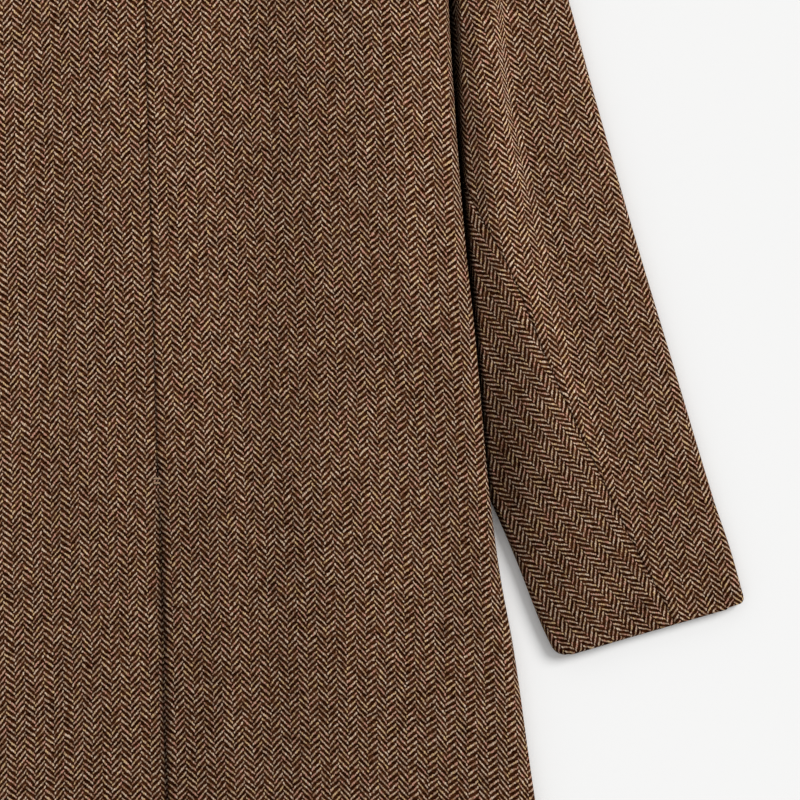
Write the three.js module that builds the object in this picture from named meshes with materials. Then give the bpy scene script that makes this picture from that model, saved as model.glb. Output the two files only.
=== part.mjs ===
import * as THREE from "three";

// A wool overcoat laid flat on its front. Millimetres, Z up, the floor at z = 0, Y towards the
// collar, and X towards the wearer's right. Every piece is a wall of cloth whose right side is the
// surface that its own function gives, at a distance from the centre line that is called a.
const CLOTH = 2.4;
const GAP = 0.3;
const SLOPED_GAP = 0.45;
const LAYER = CLOTH + 0.6;

// Outline of the body, seen from above
const HEM_Y = -550;
const HEM_RISE = 5;
const NAPE_Y = 503;
const NECK = { x: 88, y: 525 };
const SHOULDER = { x: 238, y: 478 };
const UNDERARM_Y = 268;
const ARMHOLE_BLEND = 14;
const VENT_TOP_Y = -25;
const VENT_LAP = 40;
const FRONT_LAP = 28;
const SIDE_SEAM_WRAP = 18;

// Heights of the layers above the floor
const BACK_HEIGHT = [
  { y: -550, height: 12.2 },
  { y: -110, height: 12.8 },
  { y: -30, height: 14.2 },
  { y: 60, height: 13.6 },
  { y: 200, height: 14.6 },
  { y: 280, height: 15.6 },
  { y: 360, height: 14.6 },
  { y: 503, height: 12.4 },
];
const SHOULDER_DROP = 4.8;
const TUCK_LIFT = 6.8;

const BUTTON_RADIUS = 15;
const BUTTON_THICKNESS = 3.5;
const STRIP_LIFT = BUTTON_THICKNESS + GAP;
const STRIP_REACH = { full: 31, end: 62 };
const BUTTONS = [
  { name: "button_1", y: 205 },
  { name: "button_2", y: 110 },
  { name: "button_3", y: 15 },
];

// Half-width of the body at its side fold or armhole, and the height of the puffed fold there
const SIDE = [
  { y: -550, width: 315, height: 12 },
  { y: -400, width: 298, height: 12.5 },
  { y: -261, width: 281, height: 14 },
  { y: -165, width: 270, height: 15 },
  { y: -107, width: 261, height: 16 },
  { y: -41, width: 254, height: 17.5 },
  { y: 20, width: 250, height: 20 },
  { y: 82, width: 246, height: 23 },
  { y: 144, width: 241, height: 25 },
  { y: 237, width: 236, height: 27 },
  { y: 329, width: 233, height: 27 },
  { y: 400, width: 232, height: 22 },
  { y: 478, width: 238, height: 13 },
];
// The back rises to its side over this stretch, measured inwards from the side fold
const RISE_START = 140;
const RISE_END = 25;
const SIDE_DEPTH = 15;

// Inner and outer edges of the sleeve, seen from above
const SLEEVE_INNER = [
  { y: -169, x: 302 },
  { y: -144, x: 291 },
  { y: -94, x: 273 },
  { y: -49, x: 255 },
  { y: 12, x: 229 },
  { y: 94, x: 205 },
  { y: 174, x: 195 },
  { y: 220, x: 205 },
  { y: 246, x: 229 },
  { y: 256, x: 237 },
  { y: 268, x: 236.5 },
  { y: 329, x: 233.6 },
  { y: 400, x: 232.6 },
  { y: 478, x: 238.6 },
];
const SLEEVE_OUTER = [
  { y: -134, x: 449 },
  { y: -92, x: 438.5 },
  { y: -53, x: 426.5 },
  { y: 63, x: 395 },
  { y: 140, x: 374 },
  { y: 257, x: 343.7 },
  { y: 334, x: 325 },
  { y: 396, x: 308 },
  { y: 438, x: 292 },
  { y: 464, x: 270 },
  { y: 477, x: 252 },
];
const ELBOW_SEAM = [
  { y: -147, x: 394 },
  { y: -72, x: 357.4 },
  { y: -15, x: 332 },
  { y: 50, x: 303.6 },
  { y: 119, x: 277 },
  { y: 150, x: 262 },
  { y: 182, x: 247 },
  { y: 215, x: 240 },
  { y: 266, x: 240 },
];
// Rows across the sleeve, from the cuff up to the shoulder, by where each meets the two edges
const SLEEVE_ROWS = [
  { inner: -169, outer: -134 },
  { inner: -138, outer: -103 },
  { inner: -94, outer: -58 },
  { inner: -49, outer: -11 },
  { inner: 12, outer: 50 },
  { inner: 74, outer: 108 },
  { inner: 134, outer: 165 },
  { inner: 194, outer: 222 },
  { inner: 230, outer: 255 },
  { inner: 256, outer: 278 },
  { inner: 298, outer: 318 },
  { inner: 348, outer: 364 },
  { inner: 400, outer: 410 },
  { inner: 440, outer: 444 },
  { inner: 472, outer: 474 },
];
const UNDERSLEEVE_LAST_ROW = 9;
const FOREARM_SEAM_INSET = 15;

// The sleeve's upper side: its height in the crevice beside the body, on the ridge that rolls up
// beside it and on the outer part, the width of the rise to the ridge, and the middle and width of
// the drop from it
const SLEEVE_HEIGHT = [
  { y: -169, crevice: 11, ridge: 11, outer: 9, rise: 30, brow: 350, drop: 60 },
  { y: -97, crevice: 11, ridge: 13.5, outer: 10, rise: 50, brow: 340, drop: 60 },
  { y: -49, crevice: 5.4, ridge: 15.5, outer: 11, rise: 58, brow: 332, drop: 60 },
  { y: 23, crevice: 5.4, ridge: 18, outer: 11.5, rise: 50, brow: 322, drop: 52 },
  { y: 104, crevice: 5.4, ridge: 21.5, outer: 12, rise: 34, brow: 303, drop: 32 },
  { y: 194, crevice: 5.4, ridge: 26, outer: 12, rise: 24, brow: 286, drop: 20 },
  { y: 244, crevice: 5.4, ridge: 27, outer: 12, rise: 20, brow: 279, drop: 20 },
  { y: 282, crevice: 8, ridge: 27, outer: 11.5, rise: 18, brow: 276, drop: 20 },
  { y: 400, crevice: 9, ridge: 22, outer: 12, rise: 18, brow: 272, drop: 20 },
  { y: 478, crevice: 5.4, ridge: 5.6, outer: 5.4, rise: 12, brow: 262, drop: 16 },
];
const SLEEVE_FOLD_DEPTH = 10;

// The largest folds of the back: a soft trough or ridge along each line
const BACK_FOLDS = [
  { x: 66, y: 345, toX: 60, toY: -540, halfWidth: 34, height: -1.6 },
  { x: 136, y: 345, toX: 128, toY: -540, halfWidth: 30, height: 1.3 },
  { x: -75, y: 330, toX: -70, toY: -540, halfWidth: 36, height: -1.3 },
  { x: 196, y: 110, toX: 240, toY: -200, halfWidth: 26, height: -1.5 },
  { x: -206, y: 60, toX: -236, toY: -260, halfWidth: 28, height: -1.5 },
  { x: 170, y: -60, toX: 210, toY: -420, halfWidth: 34, height: 1.8 },
  { x: -168, y: 30, toX: -190, toY: -400, halfWidth: 34, height: 1.6 },
];

// Lapel and collar, on the front, with the roll line running from the break to the neck
const BREAK = { x: -FRONT_LAP, y: 240 };
const ROLL_TOP = { x: 80, y: 515 };
const GORGE_AT = 0.8;
const GORGE_X = BREAK.x + (ROLL_TOP.x - BREAK.x) * GORGE_AT;
const GORGE_Y = BREAK.y + (ROLL_TOP.y - BREAK.y) * GORGE_AT;
const LAPEL_TIP = { x: 128, y: 395 };
const LAPEL_BELLY = 9;
// The collar's three lines, from the centre back round to its front end: the neck seam, the roll
// and the free edge. turn is the turn of its outward direction, from 0, up, to 1, down.
const COLLAR = [
  { seamX: 0, seamY: 504, rollX: 0, rollY: 545, rollZ: 13, edgeX: 0, edgeY: 466, edgeZ: 14.5, turn: 0 },
  { seamX: 30, seamY: 506.5, rollX: 31, rollY: 546, rollZ: 13, edgeX: 46, edgeY: 465, edgeZ: 14.5, turn: 0 },
  { seamX: 62, seamY: 515.5, rollX: 63, rollY: 547.4, rollZ: 12.6, edgeX: 102, edgeY: 474, edgeZ: 13, turn: 0 },
  { seamX: 86, seamY: 528, rollX: 89, rollY: 546, rollZ: 11, edgeX: 153, edgeY: 509, edgeZ: 10.5, turn: 0.12 },
  { seamX: 89, seamY: 529.5, rollX: 95, rollY: 545, rollZ: 7, edgeX: 159, edgeY: 514, edgeZ: 7, turn: 0.5 },
  { seamX: 86, seamY: 528, rollX: 89, rollY: 543, rollZ: 3, edgeX: 153, edgeY: 511, edgeZ: 3, turn: 0.9 },
  { seamX: 81, seamY: 512.5, rollX: 76, rollY: 520, rollZ: 3, edgeX: 141, edgeY: 482, edgeZ: 3, turn: 1 },
  { seamX: 71, seamY: 492, rollX: 64, rollY: 494, rollZ: 3, edgeX: 132, edgeY: 456, edgeZ: 3, turn: 1 },
  { seamX: 60.5, seamY: 467, rollX: 55, rollY: 466, rollZ: 3, edgeX: 125, edgeY: 430, edgeZ: 3, turn: 1 },
];

const WOOL = new THREE.MeshStandardMaterial({ color: 0x5f4836, roughness: 0.95, metalness: 0 });
const HORN = new THREE.MeshStandardMaterial({ color: 0x2b1c12, roughness: 0.45, metalness: 0 });

const { lerp, clamp, smoothstep } = THREE.MathUtils;
const smooth = (t) => smoothstep(t, 0, 1);

// The value of one column of a table at a place along another, joined by a smooth cubic
function read(table, column, at, by = "y") {
  const last = table.length - 1;
  let i = 0;
  while (i < last - 1 && table[i + 1][by] < at) i += 1;
  const slope = (k) => {
    const low = table[Math.max(k - 1, 0)];
    const high = table[Math.min(k + 1, last)];
    return (high[column] - low[column]) / (high[by] - low[by]);
  };
  const step = table[i + 1][by] - table[i][by];
  const t = clamp((at - table[i][by]) / step, 0, 1);
  const bend = t * t * (3 - 2 * t);
  const lift = t * (1 - t);
  return (
    lerp(table[i][column], table[i + 1][column], bend) +
    step * lift * (slope(i) * (1 - t) - slope(i + 1) * t)
  );
}

// How far a fold may reach sideways, so that its bend is never tighter than the cloth's wall
function foldDepth(height, most) {
  return Math.min(most, (height * height) / (4 * 1.15 * CLOTH));
}

// Hem and top edge of the body
const hemLine = (a) => HEM_Y + HEM_RISE * (a / 300) ** 2;
function topLine(a) {
  if (a < NECK.x) return NAPE_Y + (NECK.y - NAPE_Y) * (a / NECK.x) ** 2;
  return lerp(NECK.y, SHOULDER.y, clamp((a - NECK.x) / (SHOULDER.x - NECK.x), 0, 1));
}
const sideY = (v) => lerp(HEM_Y + HEM_RISE, SHOULDER.y, v);
const width = (y) => read(SIDE, "width", y);

// 1 below the underarm, where the body closes in a side fold, and 0 along the armhole
const belowArm = (y) => 1 - smooth((y - UNDERARM_Y) / ARMHOLE_BLEND);

// Height of the sleeve's tucked part under the body, or 0 away from it
function tuckLift(a, y) {
  const edge = read(SLEEVE_INNER, "x", Math.min(y, 240)) - 34;
  const along = smooth((y + 96) / 46) * (1 - smooth((y - 268) / 24));
  return TUCK_LIFT * along * smooth((a - edge) / 22);
}

// Height of the lapel's and collar's layer under the front
function lapelLift(a, y) {
  const length = Math.hypot(LAPEL_TIP.x - BREAK.x, LAPEL_TIP.y - BREAK.y);
  const past =
    ((a - BREAK.x) * (LAPEL_TIP.y - BREAK.y) - (y - BREAK.y) * (LAPEL_TIP.x - BREAK.x)) / length;
  return LAYER * smooth((46 - past) / 28) * smooth((196 - a) / 28) * smooth((y - 205) / 24);
}

// How much of the centre strip's rise is felt at a distance from the centre
const stripShare = (a) => smooth((STRIP_REACH.end - a) / (STRIP_REACH.end - STRIP_REACH.full));

// Height of the left front over the buttons and its own lapel, along the centre strip
function stripLift(y) {
  return STRIP_LIFT * smooth((y + 44) / 36) * (1 - smooth((y - 320) / 80));
}

// Height of what lies under the right front and its lapel near the centre: the left front
function lapLift(a, y) {
  const overlap = 1 - smooth((y - 320) / 80);
  return (stripLift(y) + LAYER * overlap) * stripShare(a);
}

// Height of a front's right side, which faces the floor
function frontHeight(side, a, y) {
  const own = lapelLift(a, y) + tuckLift(a, y);
  if (side > 0) return own + lapLift(a, y);
  return Math.max(own, stripLift(y) * stripShare(Math.abs(a)));
}

function foldHeight(x, y) {
  let height = 0;
  for (const fold of BACK_FOLDS) {
    const t = clamp((fold.y - y) / (fold.y - fold.toY), 0, 1);
    const across = (x - lerp(fold.x, fold.toX, t)) / fold.halfWidth;
    const ends = smooth((fold.y + 40 - y) / 80) * smooth((y - fold.toY + 40) / 80);
    height += fold.height * ends * Math.exp(-across * across);
  }
  return height;
}

// Height of the back's right side, which faces up
function backHeight(side, a, y, flat) {
  const rise = smooth((a - flat + RISE_START) / (RISE_START - RISE_END));
  const shoulder = smooth((y - 400) / 60) * smooth((Math.abs(a) - 62) / 40);
  const level = read(BACK_HEIGHT, "height", y) - SHOULDER_DROP * shoulder;
  const crest = read(SIDE, "height", y);
  const inVent = smooth((VENT_TOP_Y + 17 - y) / 15);
  const under = side > 0 ? inVent * LAYER * smooth((56 - a) / 30) : 0;
  return lerp(level + foldHeight(side * a, y) * (1 - rise), crest, rise) - under;
}

// The side of the body: where its flat part ends, and the fold's reach
function sideOf(y) {
  const crest = read(SIDE, "height", y);
  const reach = foldDepth(crest - tuckLift(width(y) - 10, y), SIDE_DEPTH);
  return { crest, reach, flat: width(y) - reach };
}

const bodyY = (a, v) => lerp(hemLine(a), topLine(Math.abs(a)), v);

// A place on the side fold, at a girth g from its crest, going round to the underside
function roundSide(side, g, y) {
  const { crest, reach, flat } = sideOf(y);
  const low = frontHeight(side, flat, y);
  const half = (crest - low) / 2;
  const length = Math.PI * Math.sqrt((reach * reach + half * half) / 2);
  if (g > length) {
    const a = flat - (g - length);
    return new THREE.Vector3(a, y, frontHeight(side, a, y));
  }
  const angle = (Math.PI * g) / length;
  return new THREE.Vector3(flat + reach * Math.sin(angle), y, low + half * (1 + Math.cos(angle)));
}

// Girth from the fold's crest to the back's edge: the side seam, or the armhole higher up
function backEdge(side, y) {
  const { crest, reach, flat } = sideOf(y);
  const half = (crest - frontHeight(side, flat, y)) / 2;
  const length = Math.PI * Math.sqrt((reach * reach + half * half) / 2);
  return lerp(0.45 * length, length + SIDE_SEAM_WRAP, belowArm(y));
}

// The back: c from 0 to 1 is the flat part from the centre, and from 1 to 2 goes round the side
function backPoint(side) {
  return (c, v) => {
    const y = sideY(v);
    const { flat } = sideOf(y);
    if (c > 1) return roundSide(side, (c - 1) * backEdge(side, y), y);
    const lap = side > 0 ? VENT_LAP * smooth((VENT_TOP_Y + 1 - bodyY(0, v)) / 30) : 0;
    const a = lerp(GAP / 2 - lap, flat, c);
    const ownY = bodyY(a, v) + c * (y - bodyY(flat, v));
    return new THREE.Vector3(a, ownY, backHeight(side, a, ownY, flat));
  };
}

// The front's edge: the centre edge up to the break, the roll line up to the gorge, then the neck
function frontEdge(y) {
  const t = clamp((y - BREAK.y) / (ROLL_TOP.y - BREAK.y), 0, GORGE_AT);
  const neck = clamp((y - GORGE_Y) / (NECK.y - GORGE_Y), 0, 1);
  return lerp(BREAK.x, ROLL_TOP.x, t) + (NECK.x - GORGE_X) * neck;
}

// The front: c from 0 at the side seam or armhole to 1 at the centre
function frontPoint(side) {
  return (c, v) => {
    const y = sideY(v);
    const { flat } = sideOf(y);
    const start = lerp(width(y) - GAP / 2, flat - SIDE_SEAM_WRAP - SLOPED_GAP, belowArm(y));
    const endY = lerp(hemLine(0), NECK.y, v);
    const a = lerp(start, frontEdge(endY), c);
    const rowY = (x) => lerp(hemLine(x), x < NECK.x ? NECK.y : topLine(x), v);
    const ownY = rowY(a) + (1 - c) * (y - rowY(start));
    return new THREE.Vector3(a, ownY, frontHeight(side, a, ownY));
  };
}

// Height of the sleeve's upper side
function sleeveHeight(x, y) {
  const crevice = read(SLEEVE_HEIGHT, "crevice", y);
  const ridge = read(SLEEVE_HEIGHT, "ridge", y);
  const outer = read(SLEEVE_HEIGHT, "outer", y);
  const start = Math.max(width(y), read(SLEEVE_INNER, "x", y) + 2) + GAP;
  const rise = smooth((x - start) / read(SLEEVE_HEIGHT, "rise", y));
  const brow = read(SLEEVE_HEIGHT, "brow", y);
  const fall = smooth((x - brow) / read(SLEEVE_HEIGHT, "drop", y) + 0.5);
  return lerp(crevice, ridge, rise) - (ridge - outer) * fall;
}

// A row across the sleeve: its two ends, and the place at any x between them
function sleeveRow(r) {
  const i = clamp(Math.floor(r), 0, SLEEVE_ROWS.length - 2);
  const innerY = lerp(SLEEVE_ROWS[i].inner, SLEEVE_ROWS[i + 1].inner, r - i);
  const outerY = lerp(SLEEVE_ROWS[i].outer, SLEEVE_ROWS[i + 1].outer, r - i);
  const innerX = read(SLEEVE_INNER, "x", innerY);
  const outerX = read(SLEEVE_OUTER, "x", outerY);
  const yAt = (x) => lerp(innerY, outerY, (x - innerX) / (outerX - innerX));
  const top = (x) => new THREE.Vector3(x, yAt(x), sleeveHeight(x, yAt(x)));
  const floor = (x) => new THREE.Vector3(x, yAt(x), 0);
  // The elbow seam is met where the row crosses it, found by stepping along the row
  let seamX = innerX;
  for (let i = 0; i < 6; i += 1) {
    seamX = Math.max(read(ELBOW_SEAM, "x", Math.min(yAt(seamX), UNDERARM_Y)), innerX + 4);
  }
  const outerDepth = foldDepth(sleeveHeight(outerX - 8, outerY), SLEEVE_FOLD_DEPTH);
  const innerDepth = foldDepth(read(SLEEVE_HEIGHT, "crevice", innerY), 5);
  return {
    innerX,
    outerX,
    seamX,
    top,
    floor,
    outerDepth: Math.min(outerDepth, 0.4 * (outerX - innerX)),
    innerDepth,
  };
}

// A fold that joins the sleeve's upper side at x to its underside, on the side that way points to
function sleeveFold(row, x, depth, way, t) {
  const high = row.top(x);
  const out = way * depth * Math.sin(Math.PI * t);
  const place = row.floor(x + out);
  place.z = (high.z / 2) * (1 + Math.cos(Math.PI * t));
  return place;
}

// The top sleeve: c from the elbow seam or armhole to the outer fold, round it, and back below
function topsleevePoint(c, r) {
  const row = sleeveRow(r);
  const sewn = smooth(2 * (r - UNDERSLEEVE_LAST_ROW));
  const seam = row.seamX;
  const start = lerp(seam + SLOPED_GAP, row.innerX, sewn);
  const bend = row.outerX - row.outerDepth;
  const end = lerp(row.innerX + FOREARM_SEAM_INSET, row.innerX, sewn) + GAP / 2;
  if (c <= 1) return row.top(lerp(start, bend, c * (0.6 + 0.4 * c)));
  if (c <= 2) return sleeveFold(row, bend, row.outerDepth, 1, c - 1);
  return row.floor(lerp(bend, end, c - 2));
}

// The undersleeve: c from the forearm seam below, round the inner fold, to the elbow seam above
function undersleevePoint(c, r) {
  const row = sleeveRow(r);
  const bend = row.innerX + row.innerDepth;
  if (c <= 1) return row.floor(lerp(row.innerX + FOREARM_SEAM_INSET - GAP / 2, bend, c));
  if (c <= 2) return sleeveFold(row, bend, row.innerDepth, -1, 2 - c);
  return row.top(lerp(bend, row.seamX - SLOPED_GAP, c - 2));
}

// The lapel: c from its free edge to the roll line, and t from the break up to the gorge
function lapelPoint(side) {
  return (c, t) => {
    const up = t * GORGE_AT;
    const rollX = lerp(BREAK.x, ROLL_TOP.x, up);
    const rollY = lerp(BREAK.y, ROLL_TOP.y, up);
    const belly = LAPEL_BELLY * Math.sin(Math.PI * t);
    const edgeX = lerp(BREAK.x, LAPEL_TIP.x, t) + belly;
    const edgeY = lerp(BREAK.y, LAPEL_TIP.y, t) - belly;
    const a = lerp(edgeX, rollX + GAP, c);
    const y = lerp(edgeY, rollY, c);
    return new THREE.Vector3(a, y, side > 0 ? lapLift(a, y) : 0);
  };
}

// The collar: c from 0 to 1 is the stand from the neck seam to the roll, then the roll, then the fall
function collarPoint(c, e) {
  const at = Math.abs(e);
  const way = e < 0 ? -1 : 1;
  const line = (name) => read(COLLAR_BY, name, at, "at");
  const place = (name, height) =>
    new THREE.Vector3(way * line(name + "X"), line(name + "Y"), line(height));
  const turn = Math.PI * line("turn");
  const out = new THREE.Vector3(0, Math.sin(turn), Math.cos(turn)).multiplyScalar(CLOTH + GAP);
  const roll = place("roll", "rollZ");
  const edge = place("edge", "edgeZ");
  if (c <= 1) return place("seam", "rollZ").lerp(roll, c).sub(out);
  if (c >= 2) return roll.lerp(edge, c - 2).add(out);
  const angle = Math.PI * (2 - c);
  const away = roll.clone().sub(edge).normalize().multiplyScalar(CLOTH + GAP);
  return roll.addScaledVector(out, Math.cos(angle)).addScaledVector(away, Math.sin(angle));
}
const COLLAR_BY = COLLAR.map((row, i) => ({ ...row, at: i / (COLLAR.length - 1) }));

// Evenly spaced values, counting both ends
function spaced(from, to, count) {
  return Array.from({ length: count + 1 }, (_, i) => lerp(from, to, i / count));
}

// Joins stretches of columns end to end
function stretches(...counts) {
  const all = counts.flatMap((count, i) => spaced(i, i + 1, count).slice(i ? 1 : 0));
  return all;
}

// One closed wall of cloth: the surface on its right side, and the same moved in by the thickness.
// side -1 mirrors it to the wearer's left.
function wall(name, side, columns, rows, point) {
  const step = 1e-3;
  const across = columns.length;
  const down = rows.length;
  const places = [];
  const inside = [];
  for (const r of rows) {
    for (const c of columns) {
      const place = point(c, r);
      const along = point(c + step, r).sub(point(c - step, r));
      const up = point(c, r + step).sub(point(c, r - step));
      const out = along.cross(up).normalize();
      places.push(place);
      inside.push(place.clone().addScaledVector(out, -CLOTH));
    }
  }
  const all = places.concat(inside);
  const back = places.length;
  const faces = [];
  const quad = (p, q, s, t) => faces.push(p, q, s, p, s, t);
  for (let j = 0; j + 1 < down; j += 1) {
    for (let i = 0; i + 1 < across; i += 1) {
      const k = j * across + i;
      quad(k, k + 1, k + across + 1, k + across);
      quad(back + k, back + k + across, back + k + across + 1, back + k + 1);
    }
  }
  const rim = [];
  for (let i = 0; i < across - 1; i += 1) rim.push(i);
  for (let j = 0; j < down - 1; j += 1) rim.push(j * across + across - 1);
  for (let i = across - 1; i > 0; i -= 1) rim.push((down - 1) * across + i);
  for (let j = down - 1; j > 0; j -= 1) rim.push(j * across);
  rim.forEach((k, i) => {
    const next = rim[(i + 1) % rim.length];
    quad(k, back + k, back + next, next);
  });
  if (side < 0) faces.reverse();
  const geometry = new THREE.BufferGeometry().setFromPoints(all);
  geometry.scale(side, 1, 1);
  geometry.setIndex(faces);
  geometry.computeVertexNormals();
  const mesh = new THREE.Mesh(geometry, WOOL);
  mesh.name = name;
  return mesh;
}

const BODY_ROWS = [
  ...spaced(0, 0.44, 8),
  ...spaced(0.47, 0.53, 4),
  ...spaced(0.57, 0.75, 5),
  ...spaced(0.77, 0.83, 5),
  ...spaced(0.87, 1, 4),
];
const SLEEVE_LINES = [...spaced(0, 5, 5), ...spaced(5.5, 10, 9), ...spaced(11, 14, 3)];

function back(name, side) {
  return wall(name, side, stretches(11, 9), BODY_ROWS, backPoint(side));
}

function front(name, side) {
  return wall(name, side, spaced(0, 1, 20), BODY_ROWS, frontPoint(side));
}

function topsleeve(name, side) {
  return wall(name, side, stretches(9, 6, 4), SLEEVE_LINES, topsleevePoint);
}

function undersleeve(name, side) {
  const lines = SLEEVE_LINES.filter((r) => r < UNDERSLEEVE_LAST_ROW);
  lines.push(UNDERSLEEVE_LAST_ROW - 0.02);
  return wall(name, side, stretches(2, 4, 9), lines, undersleevePoint);
}

function lapel(name, side) {
  return wall(name, side, spaced(0, 1, 6), spaced(0.05, 1, 9), lapelPoint(side));
}

function collar() {
  return wall("collar", 1, stretches(3, 4, 4), spaced(-1, 1, 24), collarPoint);
}

// A flat round button with a dished face, lying face down under the left front
function button({ name, y }) {
  const half = BUTTON_THICKNESS / 2;
  const profile = [
    [0, -half + 0.8],
    [BUTTON_RADIUS - 4, -half + 0.8],
    [BUTTON_RADIUS - 2.5, -half],
    [BUTTON_RADIUS - 0.8, -half],
    [BUTTON_RADIUS, 0],
    [BUTTON_RADIUS - 1, half],
    [0, half],
  ].map(([radius, height]) => new THREE.Vector2(radius, height));
  const geometry = new THREE.LatheGeometry(profile, 24);
  const mesh = new THREE.Mesh(geometry, HORN);
  mesh.name = name;
  mesh.rotation.x = Math.PI / 2;
  mesh.position.set(0, y, half);
  return mesh;
}

const coat = new THREE.Group();
for (const [word, side] of [["left", -1], ["right", 1]]) {
  coat.add(back("back_" + word, side));
  coat.add(front("front_" + word, side));
  coat.add(lapel("lapel_" + word, side));
  coat.add(topsleeve("topsleeve_" + word, side));
  coat.add(undersleeve("undersleeve_" + word, side));
}
coat.add(collar());
for (const each of BUTTONS) coat.add(button(each));

export default coat;
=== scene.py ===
"""A brown herringbone wool overcoat laid flat on its front on a white surface, seen from straight
above at the lower back, as in the photograph. Each CAD panel is replaced by a finer shell of cloth
on the same form, with its creases, seams and weave. Lengths are in millimetres until a mesh is made.
"""
import math

import bpy
import numpy as np
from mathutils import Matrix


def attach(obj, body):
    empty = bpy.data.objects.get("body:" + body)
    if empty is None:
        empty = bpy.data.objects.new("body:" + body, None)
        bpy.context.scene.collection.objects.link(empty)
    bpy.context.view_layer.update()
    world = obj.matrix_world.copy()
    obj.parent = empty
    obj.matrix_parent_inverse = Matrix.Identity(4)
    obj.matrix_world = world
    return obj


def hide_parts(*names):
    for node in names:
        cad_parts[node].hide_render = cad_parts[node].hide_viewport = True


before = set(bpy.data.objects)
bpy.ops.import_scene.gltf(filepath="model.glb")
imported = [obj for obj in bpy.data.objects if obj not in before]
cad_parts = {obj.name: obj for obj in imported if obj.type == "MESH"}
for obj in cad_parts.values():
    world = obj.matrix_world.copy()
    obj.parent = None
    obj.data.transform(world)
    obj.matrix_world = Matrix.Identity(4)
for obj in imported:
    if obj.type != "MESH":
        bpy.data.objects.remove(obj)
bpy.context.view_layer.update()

MM = 0.001
CLOTH = 2.4
GAP = 0.3
SLOPED_GAP = 0.45
LAYER = CLOTH + 0.6

# The body's outline and layers, as in the part's source
HEM_Y = -550
HEM_RISE = 5
NAPE_Y = 503
NECK_X, NECK_Y = 88, 525
SHOULDER_X, SHOULDER_Y = 238, 478
UNDERARM_Y = 268
ARMHOLE_BLEND = 14
VENT_TOP_Y = -25
VENT_LAP = 40
FRONT_LAP = 28
SIDE_SEAM_WRAP = 18
SHOULDER_DROP = 5
TUCK_LIFT = 6.8
BUTTON_RADIUS = 15
BUTTON_THICKNESS = 3.5
BUTTON_Y = {"button_1": 205, "button_2": 110, "button_3": 15}
STRIP_LIFT = BUTTON_THICKNESS + GAP
STRIP_FULL, STRIP_END = 31, 62
RISE_START, RISE_END = 140, 25
SIDE_DEPTH = 14
SLEEVE_FOLD_DEPTH = 10
FOREARM_SEAM_INSET = 15
UNDERSLEEVE_LAST_ROW = 9
BREAK_X, BREAK_Y = -FRONT_LAP, 240
ROLL_TOP_X, ROLL_TOP_Y = 80, 515
GORGE_AT = 0.8
TIP_X, TIP_Y = 128, 395
LAPEL_BELLY = 9


def table(names, *rows):
    """A table with named columns, as arrays."""
    return {name: np.array(column, float) for name, column in zip(names.split(), zip(*rows))}


BACK_HEIGHT = table(
    "y height",
    (-550, 12.2), (-110, 12.8), (-30, 14.2), (60, 13.6), (200, 14.6), (280, 15.6), (360, 14.6),
    (503, 12.4),
)
SIDE = table(
    "y width height",
    (-550, 315, 12), (-400, 298, 12.5), (-261, 281, 14), (-165, 270, 15), (-107, 261, 16),
    (-41, 254, 17.5), (20, 250, 20), (82, 246, 23), (144, 241, 25), (237, 236, 27),
    (329, 233, 27), (400, 232, 22), (445, 235, 15), (478, 238, 6.5),
)
SLEEVE_INNER = table(
    "y x",
    (-169, 302), (-144, 291), (-94, 273), (-49, 255), (12, 229), (94, 205), (174, 195), (220, 205),
    (246, 226), (256, 231), (268, 233), (329, 233), (400, 232.6), (478, 238.6),
)
SLEEVE_OUTER = table(
    "y x",
    (-134, 449), (-92, 438.5), (-53, 426.5), (63, 395), (140, 374), (257, 343.7), (334, 325),
    (396, 308), (438, 292), (464, 270), (477, 252),
)
ELBOW_SEAM = table(
    "y x",
    (-147, 394), (-72, 357.4), (-15, 332), (50, 303.6), (119, 277), (150, 262), (182, 246),
    (215, 234), (266, 233),
)
SLEEVE_ROWS = table(
    "at inner outer",
    (0, -169, -134), (1, -138, -103), (2, -94, -58), (3, -49, -11), (4, 12, 50), (5, 74, 108),
    (6, 134, 165), (7, 194, 222), (8, 230, 255), (9, 256, 278), (10, 298, 318), (11, 348, 364),
    (12, 400, 410), (13, 440, 444), (14, 472, 474),
)
# The sleeve's upper side: height in the crevice beside the body, of the steep wall that stands in
# it, on the ridge and on the outer part, the width of the crevice and of the rise to the ridge, and
# the middle and width of the drop from the ridge
SLEEVE_HEIGHT = table(
    "y crevice wall ridge outer gap rise brow drop",
    (-169, 11, 0, 11, 9, 0, 30, 350, 60), (-97, 11, 0, 13.5, 10, 0, 50, 340, 60),
    (-68, 10, 0.5, 14.6, 10.6, 0, 55, 335, 60), (-49, 5.4, 1, 15.5, 11, 0, 58, 332, 60),
    (23, 5.4, 2.5, 18, 11.5, 1, 50, 322, 52),
    (104, 5.4, 5, 21.5, 12, 1.6, 34, 303, 32), (194, 5.4, 11, 26, 12, 2, 24, 286, 16),
    (244, 5.4, 13, 27, 12, 2.4, 20, 277, 12), (282, 8, 12, 27, 11.5, 2.8, 18, 273.5, 11),
    (400, 9, 9, 22, 12, 3, 18, 270, 12), (478, 5.2, 0, 5.6, 5.4, 1, 12, 262, 16),
)
# Soft troughs and ridges of the back, each along a line
BACK_FOLDS = table(
    "x y to_x to_y half height",
    (66, 345, 60, -540, 34, -1.6), (136, 345, 128, -540, 30, 1.3),
    (-75, 330, -70, -540, 36, -1.3),
    (196, 110, 240, -200, 26, -1.5), (-206, 60, -236, -260, 28, -1.5),
    (170, -60, 210, -420, 34, 1.8), (-168, 30, -190, -400, 34, 1.6),
)
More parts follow.
